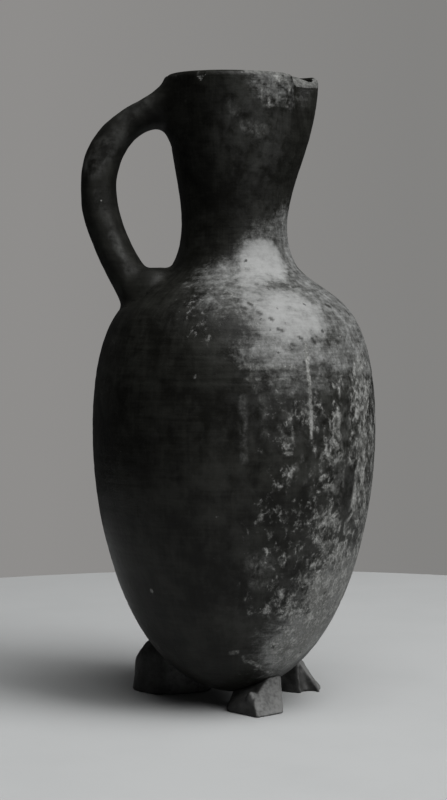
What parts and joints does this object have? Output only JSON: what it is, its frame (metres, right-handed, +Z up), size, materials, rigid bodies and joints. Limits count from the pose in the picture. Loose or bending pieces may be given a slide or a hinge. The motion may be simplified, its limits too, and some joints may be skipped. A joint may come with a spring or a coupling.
{
  "type": "oinochoe jug",
  "caption": "Tall burnished clay wine jug with an ovoid body, pinched pouring lip and strap handle, set on pressed clay lumps.",
  "frame": {"origin": "the point on the table straight under the jug's upright axis", "axes": "+Z up along the jug's axis, +X towards the pouring lip, -X towards the handle"},
  "size_m": [0.1179, 0.1132, 0.252],
  "materials": {
    "burnished_ware": "burnished dark slip, worn and crusted",
    "lump_clay": "hand pressed, matt"
  },
  "bodies": {
    "root": {"base": "burnished_ware", "belly": "burnished_ware", "shoulder": "burnished_ware", "neck": "burnished_ware", "handle": "burnished_ware", "handle_upper_root": "burnished_ware", "handle_lower_root": "burnished_ware", "foot_left": "lump_clay", "foot_front": "lump_clay", "foot_back": "lump_clay"}
  },
  "joints": []
}
